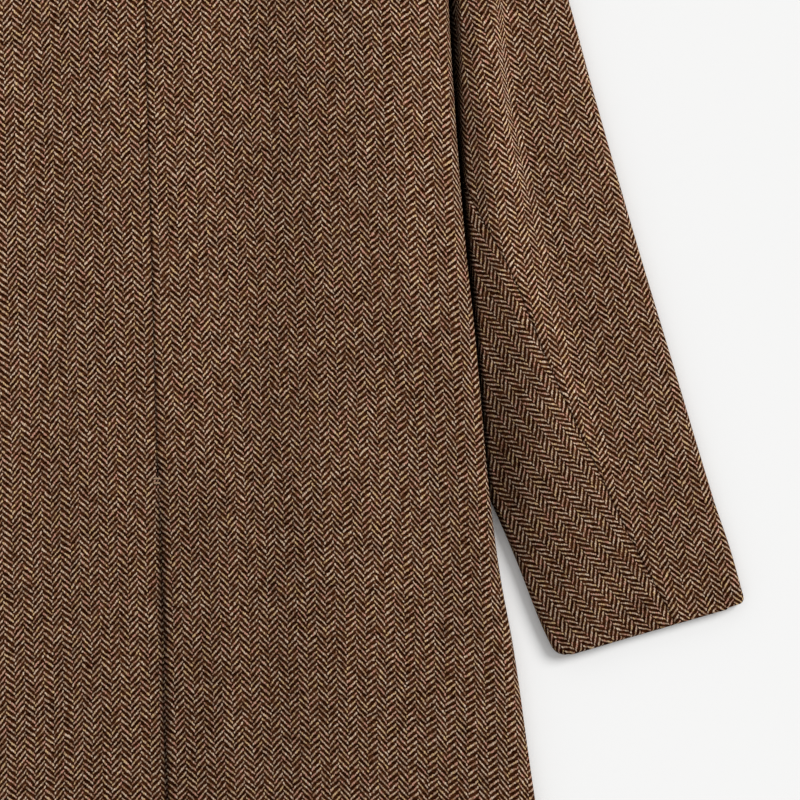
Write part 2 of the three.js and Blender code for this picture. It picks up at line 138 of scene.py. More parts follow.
# Bands of painted light and shade, each along a line: painted shade on soft troughs and on slopes turned from
# the light, painted highlights on slopes turned to it, a painted shadow beside the vent's overlapping edge,
# and painted shade in the centre back seam
BODY_PAINTED_BANDS = table(
    "x y to_x to_y half height",
    (100, 345, 90, -540, 28, -0.09), (24, -10, 26, -540, 20, -0.12), (210, 345, 205, 110, 20, 0.13),
    (2.2, -30, -0.6, -560, 2.8, -0.68), (0.3, 345, 0.3, -40, 1.1, -0.28), (205, 100, 236, -150, 20, -0.07),
    (176, 30, 180, -170, 24, 0.06), (-76, 330, -60, -540, 30, -0.03), (-205, 300, -220, -100, 24, 0.06),
)
# Bands of painted light and shade on the sleeves, each along a line: painted highlights on the upper side, and
# painted shade beside the body's edge and near the inner fold
SLEEVE_PAINTED_BANDS = table(
    "x y to_x to_y half height",
    (272, 345, 272, 110, 17, 0.22), (285, 140, 340, -30, 20, 0.08), (258, 40, 277, -110, 17, -0.42),
    (300, -80, 305, -190, 14, -0.14),
)
COLLAR = table(
    "at seam_x seam_y roll_x roll_y roll_z edge_x edge_y edge_z turn",
    (0, 0, 504, 0, 545, 13, 0, 466, 14.5, 0),
    (1, 30, 506.5, 31, 546, 13, 46, 465, 14.5, 0),
    (2, 62, 515.5, 63, 547.4, 12.6, 102, 474, 13, 0),
    (3, 86, 528, 89, 546, 11, 153, 509, 10.5, 0.12),
    (4, 89, 529.5, 95, 545, 7, 159, 514, 7, 0.5),
    (5, 86, 528, 89, 543, 3, 153, 511, 3, 0.9),
    (6, 81, 512.5, 76, 520, 3, 141, 482, 3, 1),
    (7, 71, 492, 64, 494, 3, 132, 456, 3, 1),
    (8, 60.5, 467, 55, 466, 3, 125, 430, 3, 1),
)

# Sewn edges that show meet closer than in the part's source, and the cuff's corners are rounded
SEAM_GAP = 0.05
SHOULDER_ROLL = 12
# How far the vent's upper edge has drifted from the centre at the hem
VENT_SLANT = -3
ARMHOLE_TUCK = 3
CUFF_ROUND = 6.5

# The buttons' holes lie at the corners of a square, this far from its middle lines
HOLE_AT = 2.4

# The weave: the threads' width, and how many make a column
THREAD = 1.25
ENDS_IN_COLUMN = 6


def smooth(t):
    """A soft step: 0 below 0, 1 above 1, and 3t^2 - 2t^3 between."""
    t = np.clip(t, 0, 1)
    return t * t * (3 - 2 * t)


def mix(a, b, t):
    return a + (b - a) * t


def read(columns, name, at, by="y"):
    """The value of one column at places along another, joined by a smooth cubic whose slope at each
    row is that of the line between its neighbours."""
    x, value = columns[by], columns[name]
    low = np.maximum(np.arange(len(x)) - 1, 0)
    high = np.minimum(np.arange(len(x)) + 1, len(x) - 1)
    slope = (value[high] - value[low]) / (x[high] - x[low])
    i = np.clip(np.searchsorted(x, at) - 1, 0, len(x) - 2)
    step = x[i + 1] - x[i]
    t = np.clip((at - x[i]) / step, 0, 1)
    bend = t * (1 - t) * step
    return mix(value[i], value[i + 1], smooth(t)) + bend * (slope[i] * (1 - t) - slope[i + 1] * t)


def ripple(x, y, size, seed, count=9):
    """Soft unevenness from -1 to 1: a sum of sine waves about size long, in random directions."""
    random = np.random.default_rng(seed)
    total = np.zeros(np.broadcast(x, y).shape)
    for angle, length, phase in random.random((count, 3)):
        wave = 2 * math.pi / (size * (0.7 + 0.9 * length))
        along = x * math.cos(math.tau * angle) + y * math.sin(math.tau * angle)
        total += np.sin(wave * along + math.tau * phase)
    return total / (1.8 * math.sqrt(count))


def fold_depth(height, most):
    """How far a fold may reach sideways, so that it never bends tighter than the wall."""
    return np.minimum(most, height**2 / (4 * 1.15 * CLOTH))


def hem_line(a):
    return HEM_Y + HEM_RISE * (a / 300) ** 2


def top_line(a):
    """The neck curve from the centre to the neck point, then the shoulder line."""
    neck = NAPE_Y + (NECK_Y - NAPE_Y) * (a / NECK_X) ** 2
    slope = np.clip((a - NECK_X) / (SHOULDER_X - NECK_X), 0, 1)
    return np.where(a < NECK_X, neck, mix(NECK_Y, SHOULDER_Y, slope))


def side_y(v):
    return mix(HEM_Y + HEM_RISE, SHOULDER_Y, v)


def body_y(a, v):
    return mix(hem_line(a), top_line(np.abs(a)), v)


def width(y):
    return read(SIDE, "width", y)


def below_arm(y):
    return 1 - smooth((y - UNDERARM_Y) / ARMHOLE_BLEND)


def tuck_lift(a, y):
    """Height of the sleeve's tucked part under the body, or 0 away from it."""
    edge = read(SLEEVE_INNER, "x", np.minimum(y, 240)) - 34
    along = smooth((y + 96) / 46) * (1 - smooth((y - 268) / 24))
    return TUCK_LIFT * along * smooth((a - edge) / 22)


def lapel_lift(a, y):
    """Height of the lapel's and collar's layer under the front."""
    across, up = TIP_X - BREAK_X, TIP_Y - BREAK_Y
    past = ((a - BREAK_X) * up - (y - BREAK_Y) * across) / math.hypot(across, up)
    return LAYER * smooth((46 - past) / 28) * smooth((196 - a) / 28) * smooth((y - 205) / 24)


def strip_share(a):
    return smooth((STRIP_END - a) / (STRIP_END - STRIP_FULL))


def strip_lift(y):
    """Height of the left front over the buttons and its own lapel."""
    return STRIP_LIFT * smooth((y + 44) / 36) * (1 - smooth((y - 320) / 80))


def lap_lift(a, y):
    """Height of what lies under the right front near the centre: the left front."""
    overlap = 1 - smooth((y - 320) / 80)
    return (strip_lift(y) + LAYER * overlap) * strip_share(a)


def front_height(side, a, y):
    """Height of a front's right side, which faces the floor."""
    own = lapel_lift(a, y) + tuck_lift(a, y)
    if side > 0:
        return own + lap_lift(a, y)
    return np.maximum(own, strip_lift(y) * strip_share(np.abs(a)))


def tone_and_painted_bands(x, y, bands):
    """The painted tone, about 1: darker towards the hem, with a faint random unevenness, and lighter or darker
    along the bands of painted light and shade.
    """
    tone = mix(0.81, 1.01, smooth((y + 450) / 900)) + 0.012 * ripple(x, y, 150, 41)
    return tone + fold_height(bands, x, y)


def fold_height(folds, x, y):
    """The sum of soft folds: each a bell across its line, fading at the line's two ends."""
    total = np.zeros(np.broadcast(x, y).shape)
    for fx, fy, to_x, to_y, half, height in zip(*folds.values()):
        t = np.clip((fy - y) / (fy - to_y), 0, 1)
        across = (x - mix(fx, to_x, t)) / half
        ends = smooth((fy + 40 - y) / 80) * smooth((y - to_y + 40) / 80)
        total += height * ends * np.exp(-(across**2))
    return total


def back_height(side, a, y, flat):
    """Height of the back's right side, which faces up."""
    rise = smooth((a - flat + RISE_START) / (RISE_START - RISE_END))
    shoulder = smooth((y - 400) / 60) * smooth((np.abs(a) - 62) / 40)
    level = read(BACK_HEIGHT, "height", y) - SHOULDER_DROP * shoulder
    soft = fold_height(BACK_FOLDS, side * a, y)
    soft = soft + 0.5 * ripple(side * a, y, 90, 11) + 0.22 * ripple(side * a, y, 34, 12)
    under = 0
    if side > 0:
        under = smooth((VENT_TOP_Y + 17 - y) / 15) * LAYER * smooth((56 - a) / 30)
        under = under + 1.2 * smooth((VENT_TOP_Y - y) / 120) * smooth((16 - a) / 12)
    else:
        under = -1.2 * smooth((VENT_TOP_Y - y) / 120) * smooth((12 - a) / 12)
    return mix(level + soft * (1 - rise), read(SIDE, "height", y), rise) - under


def side_of(y):
    """The crest's height, the fold's reach and where the flat part ends, at the body's side."""
    crest = read(SIDE, "height", y)
    reach = fold_depth(crest - tuck_lift(width(y) - 10, y), SIDE_DEPTH)
    return crest, reach, width(y) - reach


def fold_girth(side, y):
    """The length round the side fold, and half of its height."""
    crest, reach, flat = side_of(y)
    half = (crest - front_height(side, flat, y)) / 2
    return math.pi * np.sqrt((reach**2 + half**2) / 2), half


def back_place(side):
    """The back: c from 0 to 1 is its flat part from the centre, and from 1 to 2 goes round the
    side fold, as half an ellipse, to the side seam below or the armhole above."""

    def place(c, v):
        y = side_y(v)
        crest, reach, flat = side_of(y)
        lap = VENT_SLANT * np.clip((VENT_TOP_Y - body_y(0, v)) / (VENT_TOP_Y - HEM_Y), 0, 1)
        if side > 0:
            lap = VENT_LAP * smooth((VENT_TOP_Y + 1 - body_y(0, v)) / 30)
        a = mix(SEAM_GAP - lap, flat, np.minimum(c, 1))
        own_y = body_y(a, v) + np.minimum(c, 1) * (y - body_y(flat, v))
        top = back_height(side, a, own_y, flat)
        seam = front_height(side, a, own_y) + 2 * CLOTH + 0.1
        over = np.clip(1 - (top_line(np.abs(a)) - own_y) / SHOULDER_ROLL, 0, 1)
        share = (1 - np.sqrt(1 - over**2)) * smooth((a - NECK_X) / 20)
        top = mix(top, seam, share * (1 - smooth((np.minimum(c, 1) - 0.9) / 0.1)))
        girth, half = fold_girth(side, y)
        edge = mix(0.45 * girth, girth + SIDE_SEAM_WRAP, below_arm(y))
        g = np.maximum(c - 1, 0) * edge
        angle = np.pi * np.minimum(g / girth, 1)
        low = front_height(side, flat, y)
        round_a = flat + reach * np.sin(angle) - np.maximum(g - girth, 0)
        under = front_height(side, round_a, y)
        round_z = np.where(g > girth, under, low + half * (1 + np.cos(angle)))
        flat_part = c <= 1
        return np.stack(
            [
                np.where(flat_part, a, round_a),
                np.where(flat_part, own_y, y),
                np.where(flat_part, top, round_z),
            ]
        )

    return place


def front_edge(y):
    """The front's edge: the centre edge, the roll line up to the gorge, then the neck."""
    gorge_x = mix(BREAK_X, ROLL_TOP_X, GORGE_AT)
    gorge_y = mix(BREAK_Y, ROLL_TOP_Y, GORGE_AT)
    t = np.clip((y - BREAK_Y) / (ROLL_TOP_Y - BREAK_Y), 0, GORGE_AT)
    neck = np.clip((y - gorge_y) / (NECK_Y - gorge_y), 0, 1)
    return mix(BREAK_X, ROLL_TOP_X, t) + (NECK_X - gorge_x) * neck


def front_place(side):
    """The front: c from the side seam or armhole to the centre edge, and v from hem to shoulder."""

    def row_y(x, v):
        return mix(hem_line(x), np.where(x < NECK_X, NECK_Y, top_line(x)), v)

    def place(c, v):
        y = side_y(v)
        flat = side_of(y)[2]
        start = mix(width(y) - GAP / 2, flat - SIDE_SEAM_WRAP - SLOPED_GAP, below_arm(y))
        a = mix(start, front_edge(mix(hem_line(0), NECK_Y, v)), c)
        own_y = row_y(a, v) + (1 - c) * (y - row_y(start, v))
        return np.stack([a, own_y, front_height(side, a, own_y)])

    return place


def sleeve_height(x, y):
    """Height of the sleeve's upper side: up from the crevice to the ridge, then down its drop."""
    crevice, wall, ridge, outer, gap, rise, brow, drop = (
        read(SLEEVE_HEIGHT, name, y) for name in list(SLEEVE_HEIGHT)[1:]
    )
    start = np.maximum(width(y), read(SLEEVE_INNER, "x", y) + 2) + GAP + gap
    steep = 1 - (1 - np.clip((x - start) / 4, 0, 1)) ** 2
    climb = smooth((x - start) / rise)
    fall = smooth((x - brow) / drop + 0.5)
    soft = 0.35 * ripple(x, y, 60, 21) + 0.2 * ripple(x, y, 28, 22)
    height = crevice + wall * steep + (ridge - crevice - wall) * climb - (ridge - outer) * fall
    return height + soft * smooth((x - start) / 60)


def corner(y):
    """How far a quarter circle cuts into the cuff's corner, at rows from its first one on."""
    rest = CUFF_ROUND - np.clip(y - y.min(), 0, CUFF_ROUND)
    return CUFF_ROUND - np.sqrt(CUFF_ROUND**2 - rest**2)


class SleeveRows:
    """Rows across the sleeve: their two ends, where the elbow seam meets them, and the places along
    them on the upper side and on the floor."""

    def __init__(self, r):
        self.inner_y = read(SLEEVE_ROWS, "inner", r, "at")
        self.outer_y = read(SLEEVE_ROWS, "outer", r, "at")
        self.inner_x = read(SLEEVE_INNER, "x", self.inner_y) + corner(self.inner_y)
        self.outer_x = read(SLEEVE_OUTER, "x", self.outer_y) - corner(self.outer_y)
        seam = self.inner_x
        for _ in range(6):
            at = np.minimum(self.y_at(seam), UNDERARM_Y)
            seam = np.maximum(read(ELBOW_SEAM, "x", at), self.inner_x + 4)
        self.seam_x = seam
        outer = fold_depth(sleeve_height(self.outer_x - 8, self.outer_y), SLEEVE_FOLD_DEPTH)
        self.outer_depth = np.minimum(outer, 0.4 * (self.outer_x - self.inner_x))
        self.inner_depth = fold_depth(read(SLEEVE_HEIGHT, "crevice", self.inner_y), 5)

    def y_at(self, x):
        return mix(self.inner_y, self.outer_y, (x - self.inner_x) / (self.outer_x - self.inner_x))

    def top(self, x):
        y = self.y_at(x)
        return np.stack([x, y, sleeve_height(x, y)])

    def floor(self, x):
        return np.stack([x, self.y_at(x), np.zeros(x.shape)])

    def fold(self, x, depth, way, t):
        """Half an ellipse that joins the upper side at x to the floor."""
        out = self.floor(x + way * depth * np.sin(np.pi * t))
        out[2] = self.top(x)[2] / 2 * (1 + np.cos(np.pi * t))
        return out


def topsleeve_place(c, r):
    """The top sleeve: c from the elbow seam to the outer fold, round it, and back on the floor."""
    rows = SleeveRows(r)
    sewn = smooth((r - UNDERSLEEVE_LAST_ROW) / 0.12)
    start = mix(rows.seam_x + SEAM_GAP, rows.inner_x - ARMHOLE_TUCK, sewn)
    bend = rows.outer_x - rows.outer_depth
    end = mix(rows.inner_x + FOREARM_SEAM_INSET, rows.inner_x, sewn) + GAP / 2
    top = rows.top(mix(start, bend, np.clip(c, 0, 1)))
    fold = rows.fold(bend, rows.outer_depth, 1, np.clip(c - 1, 0, 1))
    floor = rows.floor(mix(bend, end, np.clip(c - 2, 0, 1)))
    return np.where(c <= 1, top, np.where(c <= 2, fold, floor))


def undersleeve_place(c, r):
    """The undersleeve: c from the forearm seam on the floor, round the inner fold, to the elbow."""
    rows = SleeveRows(r)
    bend = rows.inner_x + rows.inner_depth
    start = rows.inner_x + FOREARM_SEAM_INSET - GAP / 2
    floor = rows.floor(mix(start, bend, np.clip(c, 0, 1)))
    fold = rows.fold(bend, rows.inner_depth, -1, np.clip(2 - c, 0, 1))
    top = rows.top(mix(bend, rows.seam_x - SEAM_GAP, np.clip(c - 2, 0, 1)))
    return np.where(c <= 1, floor, np.where(c <= 2, fold, top))


def lapel_place(side):
    """The lapel: c from its free edge to the roll line, and t from the break up to the gorge."""

    def place(c, t):
        up = t * GORGE_AT
        belly = LAPEL_BELLY * np.sin(np.pi * t)
        a = mix(mix(BREAK_X, TIP_X, t) + belly, mix(BREAK_X, ROLL_TOP_X, up) + GAP, c)
        y = mix(mix(BREAK_Y, TIP_Y, t) - belly, mix(BREAK_Y, ROLL_TOP_Y, up), c)
        z = lap_lift(a, y) if side > 0 else np.zeros(a.shape)
        return np.stack([a, y, z])

    return place


def collar_place(c, e):
    """The collar: c from 0 to 1 is the stand from the neck seam, then the roll, then the fall."""
    at, way = np.abs(e) * COLLAR["at"][-1], np.sign(e)

    def line(name, height):
        x, y, z = (read(COLLAR, n, at, "at") for n in (name + "_x", name + "_y", height))
        return np.stack([way * x, y, z])

    turn = np.pi * read(COLLAR, "turn", at, "at")
    out = (CLOTH + GAP) * np.stack([np.zeros(turn.shape), np.sin(turn), np.cos(turn)])
    seam, roll, edge = line("seam", "roll_z"), line("roll", "roll_z"), line("edge", "edge_z")
    away = (roll - edge) / np.linalg.norm(roll - edge, axis=0) * (CLOTH + GAP)
    angle = np.pi * np.clip(2 - c, 0, 1)
    stand = mix(seam, roll, np.clip(c, 0, 1)) - out
    bend = roll + out * np.cos(angle) + away * np.sin(angle)
    fall = mix(roll, edge, np.clip(c - 2, 0, 1)) + out
    return np.where(c <= 1, stand, np.where(c <= 2, bend, fall))


def arc_length(place, axis):
    """The distance along the cloth from the grid's first line."""
    step = np.linalg.norm(np.diff(place, axis=axis), axis=0)
    total = np.cumsum(step, axis=axis - 1)
    first = np.zeros_like(np.take(total, [0], axis - 1))
    return np.concatenate([first, total], axis=axis - 1)


def outward(place):
    """Unit normals of the right side: the cross product of the two directions of the grid."""
    up, along = np.gradient(place, axis=(1, 2))
    normal = np.cross(along, up, axis=0)
    return normal / np.maximum(np.linalg.norm(normal, axis=0), 1e-9)


def columns(*counts):
    """Evenly spaced values, counts[i] steps for each unit from i to i + 1."""
    parts = [np.arange(n) / n + i for i, n in enumerate(counts)]
    return np.concatenate([*parts, [len(counts)]])


def wall_faces(down, across):
    """Quads of the right side, of the wrong side, and of a rim in two strips with a row between."""
    k = np.arange(down * across).reshape(down, across)
    inside = k + down * across
    right = np.stack([k[:-1, :-1], k[:-1, 1:], k[1:, 1:], k[1:, :-1]], -1).reshape(-1, 4)
    wrong = np.stack(
        [inside[:-1, :-1], inside[1:, :-1], inside[1:, 1:], inside[:-1, 1:]], -1
    ).reshape(-1, 4)
    loop = np.concatenate([k[0, :-1], k[:-1, -1], k[-1, :0:-1], k[:0:-1, 0]])
    within = np.concatenate([k[1, :-1], k[:-1, -2], k[-2, :0:-1], k[:0:-1, 1]])
    middle = 2 * down * across + np.arange(len(loop))
    after = np.roll(loop, -1)
    next_middle = np.roll(middle, -1)
    rim = np.concatenate(
        [
            np.stack([loop, middle, next_middle, after], -1),
            np.stack([middle, loop + down * across, after + down * across, next_middle], -1),
        ]
    )
    return np.concatenate([right, wrong, rim]), len(rim), loop, within


def edge_grain(mesh, grain, right, loop, within, rim_faces):
    """The weave's UV at each face corner, in metres: that of the right side on both sides, and on
    the rim it runs on round the edge, as the cloth does where it is turned under."""
    run = np.linalg.norm(right[:, loop] - right[:, within], axis=0)
    onward = (grain[:, loop] - grain[:, within]) / np.maximum(run, 0.1)
    turned = CLOTH * np.pi / 4
    flat = np.concatenate([grain, grain, grain[:, loop] + onward * turned], axis=1)
    rim = flat.copy()
    rim[:, grain.shape[1] + loop] = grain[:, loop] + 2 * onward * turned
    corner = np.zeros(len(mesh.loops), np.int32)
    mesh.loops.foreach_get("vertex_index", corner)
    uv = flat.T[corner]
    uv[-4 * rim_faces :] = rim.T[corner[-4 * rim_faces :]]
    return uv * MM


def cloth(name, side, place, grain, free, bands=BODY_PAINTED_BANDS, shade=1):
    """A closed shell of cloth from its right side, an array of 3 by rows by columns. Its edge bulges
    by free's share of half the wall, so a turned edge is round, and grain gives the weave's UV."""
    down, across = place.shape[1:]
    normal = outward(place)
    faces, rim_faces, loop, within = wall_faces(down, across)
    right = place.reshape(3, -1)
    wrong = right - CLOTH * normal.reshape(3, -1)
    centre = (right[:, loop] + wrong[:, loop]) / 2
    along = np.roll(centre, -1, axis=1) - np.roll(centre, 1, axis=1)
    out = np.cross(along, normal.reshape(3, -1)[:, loop], axis=0)
    out /= np.maximum(np.linalg.norm(out, axis=0), 1e-9)
    bulge = free.reshape(-1)[loop] * CLOTH / 2
    points = np.concatenate([right, wrong, centre + out * bulge], axis=1)
    points[2] = np.maximum(points[2], 0)
    points[0] *= side
    if side < 0:
        faces = faces[:, ::-1]
    mesh = bpy.data.meshes.new("cloth_" + name)
    mesh.from_pydata((points.T * MM).tolist(), [], faces.tolist())
    mesh.shade_smooth()
    layer = mesh.uv_layers.new(name="grain")
    uv = edge_grain(mesh, grain.reshape(2, -1), right, loop, within, rim_faces)
    layer.data.foreach_set("uv", uv.astype(np.float32).reshape(-1))
    # The painted tone: darker towards the hem, with random unevenness, the bands of painted light and shade,
    # and shade, the painted shade of crevices and seams
    tone = mesh.attributes.new("tone_and_painted_light", "FLOAT", "POINT")
    shades = tone_and_painted_bands(points[0] * (side if bands is SLEEVE_PAINTED_BANDS else 1), points[1], bands)
    own = np.broadcast_to(shade, place.shape[1:]).reshape(-1)
    shades = shades * np.concatenate([own, own, own[loop]])
    tone.data.foreach_set("value", np.maximum(shades, 0.03).astype(np.float32))
    item = bpy.data.objects.new("cloth_" + name, mesh)
    bpy.context.scene.collection.objects.link(item)
    item.data.materials.append(WOOL)
    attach(item, "root")
    return item


def edge_shares(shape, first=0, last=0, bottom=0, top=0):
    """How free each edge of a grid is, 1 for a turned edge and 0 for a seam."""
    free = np.zeros(shape)
    free[:, 0] = first
    free[:, -1] = last
    free[0, :] = bottom
    free[-1, :] = top
    return free


def seam_dip(distance, depth=0.5, reach=1.5):
    """How far cloth dips into a seam: deepest at the seam, with the turnings a little proud."""
    turnings = 0.3 * smooth(distance / 4) * (1 - smooth((distance - 9) / 6))
    return turnings - depth * np.exp(-((distance / reach) ** 2))


def seam_shade(distance):
    """Painted light beside a seam: painted shade in the seam's dip, and a painted highlight over the turnings'
    ridge.
    """
    turnings = 0.1 * smooth(distance / 3) * (1 - smooth((distance - 8) / 6))
    return 1 + turnings - 0.28 * np.exp(-((distance / 1.2) ** 2))


def sunk(place, amount):
    """The same surface moved out along its normals by amount."""
    return place + outward(place) * amount


def weft_offset(side, a, y):
    """How far the weft has dropped from level at a distance from the centre: the panels flare."""
    if side < 0:
        return -0.09 * 80 * smooth(a / 160) - 0.11 * np.maximum(a - 60, 0)
    lift = 0.035 * np.minimum(a, 80)
    return lift - 0.0009 * np.maximum(a - 75, 0) ** 2


def back(name, side):
    rows = np.concatenate([np.linspace(0, 0.985, 290)[:-1], np.linspace(0.985, 1, 12)])
    c, v = np.meshgrid(columns(90, 24), rows)
    place = back_place(side)(c, v)
    arc = arc_length(place, 2)
    if side > 0:
        arc = arc + place[0][:, :1]
    dip = seam_dip(np.abs(arc)) * smooth((body_y(0, v) - VENT_TOP_Y) / 6)
    dip = dip + seam_dip(arc[:, -1:] - arc) * below_arm(side_y(v))
    place = sunk(place, dip)
    wander = 1.6 * ripple(arc, place[1], 260, 31)
    grain = np.stack([arc + wander + 0.004 * place[1], place[1] - weft_offset(side, arc, place[1])])
    free = edge_shares(c.shape, bottom=1, top=1)
    free[:, 0] = smooth((VENT_TOP_Y - 6 - place[1][:, 0]) / 8)
    item = cloth(name, side, place, grain * np.array([side, 1])[:, None, None], free)
    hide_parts(name)
    return item


def front(name, side):
    c, v = np.meshgrid(np.linspace(0, 1, 80), np.linspace(0, 1, 200))
    place = front_place(side)(c, v)
    grain = place[:2]
    free = edge_shares(c.shape, last=1, bottom=1, top=1)
    item = cloth(name, side, place, grain, free)
    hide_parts(name)
    return item


def sleeve_rows(last, count):
    """Rows up the sleeve, close together at the cuff's rounded corners."""
    return np.concatenate([np.linspace(0, 0.3, 12)[:-1], np.linspace(0.3, last, count)])


def crevice_shade(place, base=1):
    """How dark the sleeve is beside the body, where hardly any light gets in."""
    past = place[0] - np.maximum(width(place[1]), read(SLEEVE_INNER, "x", place[1])) - 1
    deep = 0.97 * smooth((place[1] + 90) / 60) * smooth((place[2] - 3) / 2)
    reach = mix(2.6, 4.6, smooth((place[1] - 40) / 200))
    near = np.exp(-np.abs(past / np.where(past > 0, reach, 8)) ** 3)
    return base * (1 - deep * near)


def topsleeve(name, side):
    c, r = np.meshgrid(columns(62, 14, 36), sleeve_rows(SLEEVE_ROWS["at"][-1], 184))
    place = topsleeve_place(c, r)
    arc = arc_length(place, 2)
    shade = crevice_shade(place, seam_shade(arc))
    place = sunk(place, seam_dip(arc))
    crest = arc[:, 62:63]
    x = place[0][:, 62:63] + arc - crest
    y = place[1]
    tilt = np.radians(np.interp(y, [-140, -20, 60, 150, 300], [3.5, 8, 9.5, 10.5, 11.5]))
    lean = np.interp(y, np.linspace(-180, 480, 67), np.cumsum(np.full(67, 10.0)) * 0.175)
    grain = np.stack([x + lean + 0 * tilt, y - 0.13 * x])
    item = cloth(name, side, place, grain, edge_shares(c.shape, bottom=1), SLEEVE_PAINTED_BANDS, shade)
    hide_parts(name)
    return item


def undersleeve(name, side):
    c, r = np.meshgrid(columns(6, 10, 44), sleeve_rows(UNDERSLEEVE_LAST_ROW - 0.02, 124))
    place = undersleeve_place(c, r)
    arc = arc_length(place, 2)
    to_seam = arc[:, -1:] - arc
    # The undersleeve's cloth is painted a tenth darker, as painted shade, besides the painted shade of its
    # seam and of the crevice
    shade = crevice_shade(place, 0.9 * seam_shade(to_seam))
    place = sunk(place, seam_dip(to_seam))
    x, y = place[0][:, -1:] + arc - arc[:, -1:], place[1]
    angle = math.radians(34.5)
    scale = 7.5 / 7.2
    u = (x * math.cos(angle) + y * math.sin(angle)) * scale
    grain = np.stack([u, (y * math.cos(angle) - x * math.sin(angle)) * scale])
    item = cloth(name, side, place, grain, edge_shares(c.shape, bottom=1), SLEEVE_PAINTED_BANDS, shade)
    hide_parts(name)
    return item


def lapel(name, side):
    c, t = np.meshgrid(np.linspace(0, 1, 36), np.linspace(0.05, 1, 70))
    place = lapel_place(side)(c, t)
    grain = np.stack([place[0] * 0.93 - place[1] * 0.36, place[1] * 0.93 + place[0] * 0.36])
    item = cloth(name, side, place, grain, edge_shares(c.shape, first=1, top=1))
    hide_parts(name)
    return item


def collar():
    c, e = np.meshgrid(columns(12, 10, 26), np.linspace(-1, 1, 160))
    place = collar_place(c, e)
    along = arc_length(place, 1)
    along = (along - along[79:81].mean(axis=0)).mean(axis=1, keepdims=True)
    grain = np.stack([np.broadcast_to(along, c.shape), arc_length(place, 2)])
    free = edge_shares(c.shape, last=1, bottom=1, top=1)
    item = cloth("collar", 1, place, grain, free)
    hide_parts("collar")
    return item


def tube(path, radius, sides=8):
    """A closed tube along a path, an array of points by 3, with flat ends."""
    path = np.array(path, float)
    ahead = np.gradient(path, axis=0)
    ahead /= np.linalg.norm(ahead, axis=1, keepdims=True)
    level = np.array([0, 0, 1.0]) if abs(ahead[0, 2]) < 0.9 else np.array([0, 1.0, 0])
    one = np.cross(ahead, level)
    one /= np.linalg.norm(one, axis=1, keepdims=True)
    two = np.cross(ahead, one)
    turn = np.arange(sides) * math.tau / sides
    ring = one[:, None] * np.cos(turn)[:, None] + two[:, None] * np.sin(turn)[:, None]
    points = (path[:, None] + radius * ring).reshape(-1, 3)
    k = np.arange(len(path) * sides).reshape(len(path), sides)
    after = np.roll(k, -1, axis=1)
    faces = np.stack([k[:-1], k[1:], after[1:], after[:-1]], -1).reshape(-1, 4).tolist()
    faces += [k[0].tolist(), k[-1, ::-1].tolist()]
    return points, faces


def joined(name, parts, material):
    """One object from several sets of points and faces, in millimetres."""
    points, faces, first = [], [], 0
    for some, quads in parts:
        points.append(some)
        faces += [[i + first for i in quad] for quad in quads]
        first += len(some)
    mesh = bpy.data.meshes.new(name)
    mesh.from_pydata((np.concatenate(points) * MM).tolist(), [], faces)
    mesh.shade_smooth()
    item = bpy.data.objects.new(name, mesh)
    bpy.context.scene.collection.objects.link(item)
    item.data.materials.append(material)
    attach(item, "root")
    return item


def bar_tack():
    """The stitch that closes the vent's top: two pairs of threads across the edge."""
    threads = []
    for i, drop in enumerate((0, 0.6, 3.4, 4)):
        y = VENT_TOP_Y - drop
        x = np.linspace(-2.6, 2.4, 9)
        top = back_top(-1, np.minimum(x, -0.2), y)
        z = top + 0.25 + 0.25 * np.sin(np.pi * (x + 2.6) / 5)
        threads.append(tube(np.stack([x, y + 0.1 * np.sin(3 * x + i), z], 1), 0.3))
    joined("vent_bar_tack", threads, THREAD_MATERIAL)


def back_top(side, x, y):
    """Height of the back's surface at a place near the centre."""
    a = np.abs(x)
    return back_height(side, a, np.full(a.shape, float(y)), side_of(np.full(a.shape, float(y)))[2])


